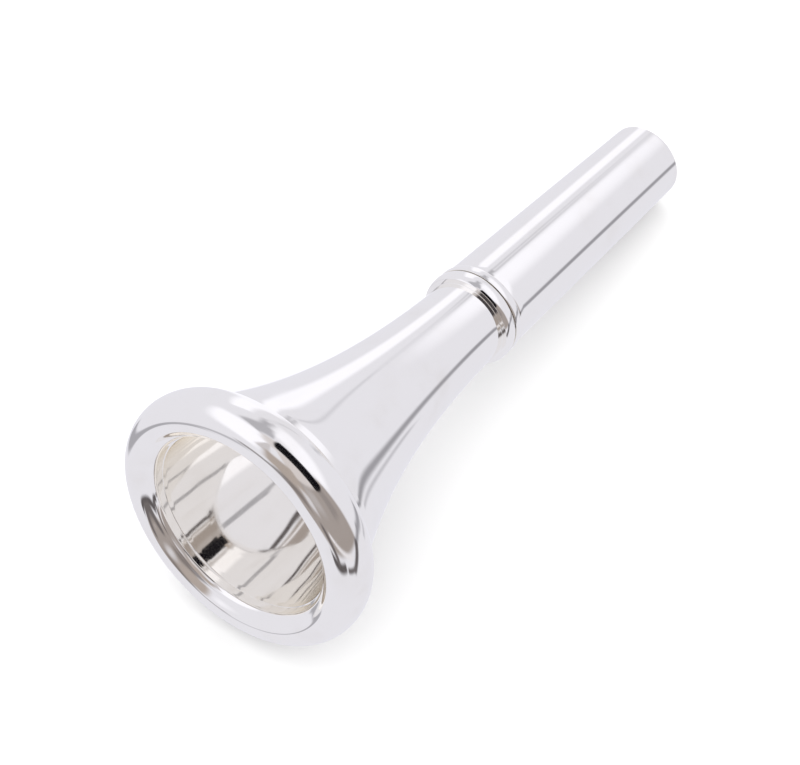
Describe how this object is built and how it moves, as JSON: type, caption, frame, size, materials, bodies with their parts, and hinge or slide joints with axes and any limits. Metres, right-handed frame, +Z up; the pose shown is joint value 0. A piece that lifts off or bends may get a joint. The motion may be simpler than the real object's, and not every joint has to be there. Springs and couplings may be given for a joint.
{
  "type": "french horn mouthpiece",
  "caption": "French horn mouthpiece of polished silver-plated brass: rounded screw-on rim, slim funnel cup, beaded collar and a screw-on tapered shank that plugs into the horn's leadpipe.",
  "frame": {"origin": "on the surface that the mouthpiece lies on, below the middle of its bounding box", "axes": "+Z up; the shank points along +Y and the rim along -Y; the bore axis falls 8.0 degrees towards the shank, because the rim bead and the shank's end both rest on z = 0"},
  "size_m": [0.025, 0.0656, 0.0248],
  "materials": {
    "silver_plate": "mirror-polished silver plate over brass"
  },
  "bodies": {
    "cup": {"cup_body": "silver_plate"},
    "rim": {"screw_rim": "silver_plate"},
    "shank": {"shank": "silver_plate"}
  },
  "joints": [
    {"name": "rim_unscrew", "type": "slide", "parent": "cup", "child": "rim", "axis": [0, -0.9902, 0.1393], "range_m": [0, 0.008]},
    {"name": "shank_unscrew", "type": "slide", "parent": "cup", "child": "shank", "axis": [0, 0.9902, -0.1393], "range_m": [0, 0.008]}
  ]
}
